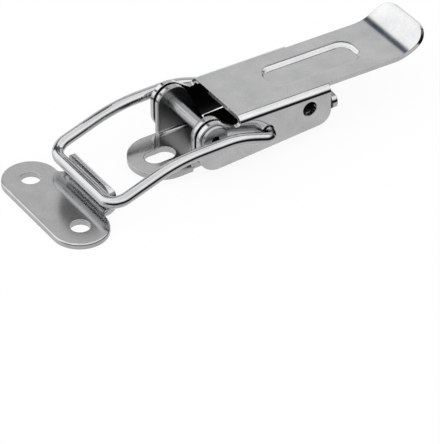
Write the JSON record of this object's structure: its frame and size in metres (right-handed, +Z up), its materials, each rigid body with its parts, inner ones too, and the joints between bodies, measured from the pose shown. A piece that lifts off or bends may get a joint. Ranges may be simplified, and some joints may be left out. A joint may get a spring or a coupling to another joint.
{
  "type": "over centre toggle latch",
  "caption": "Stainless over centre toggle latch: pressed base with ears, grooved lever with flared tip, arched wire bail and a hooked keeper plate.",
  "frame": {"origin": "on the mounting plane, straight below the pivot's axis, on the lever's centre line", "axes": "+X from the keeper to the lever's tip, +Z up off the mounting plane"},
  "size_m": [0.1106, 0.0374, 0.0184],
  "materials": {
    "base_steel": "satin pressed stainless steel with rounded edges",
    "rivet_steel": "turned and clinched stainless steel",
    "lever_steel": "satin pressed stainless steel with polished bends",
    "wire_steel": "mirror polished stainless wire",
    "keeper_steel": "satin pressed stainless steel"
  },
  "bodies": {
    "base": {"base_bracket": "base_steel", "pivot_rivet": "rivet_steel", "keeper_plate": "keeper_steel"},
    "lever": {"lever_handle": "lever_steel"},
    "bail": {"wire_bail": "wire_steel"}
  },
  "joints": [
    {"name": "lever_pivot", "type": "hinge", "parent": "base", "child": "lever", "pos_m": [0, 0, 0.0096], "axis": [0, -1, 0], "range_deg": [0, 110]},
    {"name": "bail_swing", "type": "hinge", "parent": "lever", "child": "bail", "pos_m": [0.0157, 0, 0.0056], "axis": [0, -1, 0], "range_deg": [-143, 0]}
  ],
  "couplings": [
    {"joint": "bail_swing", "follows": "lever_pivot", "ratio": -1.3}
  ]
}
